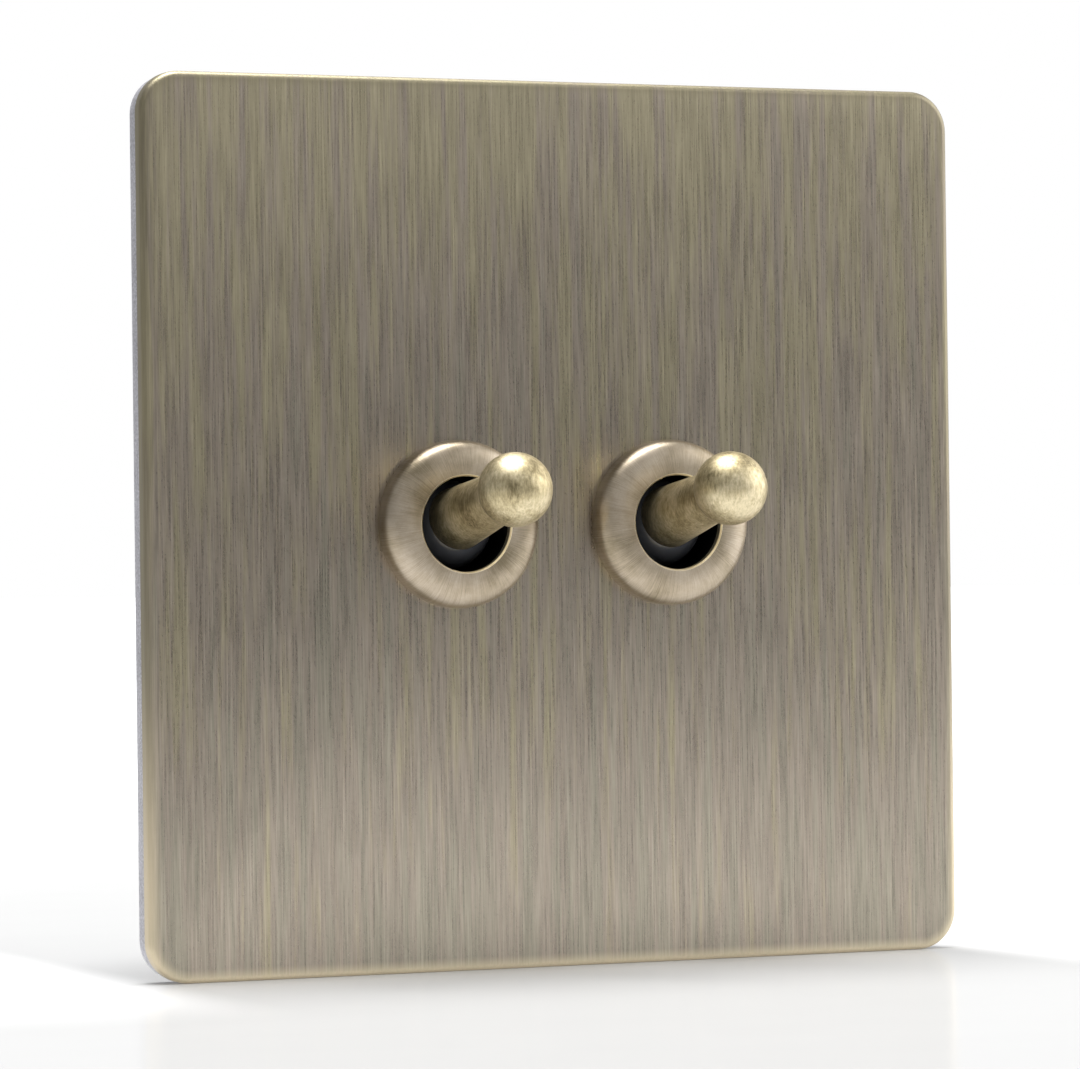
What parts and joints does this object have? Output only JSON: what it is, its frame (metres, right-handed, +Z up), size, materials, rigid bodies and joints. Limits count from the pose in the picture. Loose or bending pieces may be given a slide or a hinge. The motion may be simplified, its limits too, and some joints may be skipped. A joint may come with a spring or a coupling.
{
  "type": "toggle wall switch",
  "caption": "Square metal wall plate with round collars and ball-ended toggle levers over changeover switch mechanisms on a yoke.",
  "frame": {"origin": "centre of the wall plane, where the back frame's rear face meets the wall, midway between the two levers", "axes": "+Y into the wall, +Z up, +X to the right seen from the front; the front plate faces -Y"},
  "size_m": [0.086, 0.0441, 0.086],
  "materials": {
    "antique_brass": "brushed antique brass",
    "lever_brass": "turned champagne brass",
    "bushing_brass": "turned and threaded",
    "frame_silver": "satin silver lacquer",
    "zinc_steel": "zinc plated",
    "pin_steel": "bright drawn",
    "catch_nylon": "natural nylon",
    "black_dome": "glossy black",
    "black_housing": "moulded black",
    "grey_base": "moulded grey",
    "terminal_brass": "bright brass",
    "contact_bronze": "spring bronze"
  },
  "bodies": {
    "switch_body": {"front_plate": "antique_brass", "back_frame": "frame_silver", "yoke": "zinc_steel", "yoke_rivets": "zinc_steel", "plate_pins": "pin_steel", "pin_catches": "catch_nylon", "fixing_screws": "zinc_steel", "earth_block": "terminal_brass", "earth_screw": "zinc_steel", "left_collar": "antique_brass", "left_bushing": "bushing_brass", "left_clamp_nut": "zinc_steel", "left_lock_washer": "zinc_steel", "left_pivot_pin": "pin_steel", "left_housing_shell": "black_housing", "left_contact_base": "grey_base", "left_com_terminal": "terminal_brass", "left_up_terminal": "terminal_brass", "left_down_terminal": "terminal_brass", "left_terminal_screws": "zinc_steel", "left_case_screws": "zinc_steel", "left_detent_spring": "contact_bronze", "right_collar": "antique_brass", "right_bushing": "bushing_brass", "right_clamp_nut": "zinc_steel", "right_lock_washer": "zinc_steel", "right_pivot_pin": "pin_steel", "right_housing_shell": "black_housing", "right_contact_base": "grey_base", "right_com_terminal": "terminal_brass", "right_up_terminal": "terminal_brass", "right_down_terminal": "terminal_brass", "right_terminal_screws": "zinc_steel", "right_case_screws": "zinc_steel", "right_detent_spring": "contact_bronze"},
    "left_lever_body": {"left_lever": "lever_brass", "left_dust_shield": "black_dome"},
    "left_carriage_body": {"left_carriage": "catch_nylon", "left_contact_bridge": "contact_bronze"},
    "right_lever_body": {"right_lever": "lever_brass", "right_dust_shield": "black_dome"},
    "right_carriage_body": {"right_carriage": "catch_nylon", "right_contact_bridge": "contact_bronze"}
  },
  "joints": [
    {"name": "left_lever_tilt", "type": "hinge", "parent": "switch_body", "child": "left_lever_body", "pos_m": [-0.01125, -0.0012, 0], "axis": [1, 0, 0], "range_deg": [0, 21]},
    {"name": "left_carriage_slide", "type": "slide", "parent": "switch_body", "child": "left_carriage_body", "axis": [0, 0, 1], "range_m": [0, 0.00438], "deforming": ["left_detent_spring"]},
    {"name": "right_lever_tilt", "type": "hinge", "parent": "switch_body", "child": "right_lever_body", "pos_m": [0.01125, -0.0012, 0], "axis": [1, 0, 0], "range_deg": [0, 21]},
    {"name": "right_carriage_slide", "type": "slide", "parent": "switch_body", "child": "right_carriage_body", "axis": [0, 0, 1], "range_m": [0, 0.00438], "deforming": ["right_detent_spring"]}
  ],
  "couplings": [
    {"joint": "left_carriage_slide", "follows": "left_lever_tilt", "m_per_rad": 0.011933},
    {"joint": "right_carriage_slide", "follows": "right_lever_tilt", "m_per_rad": 0.011933}
  ]
}
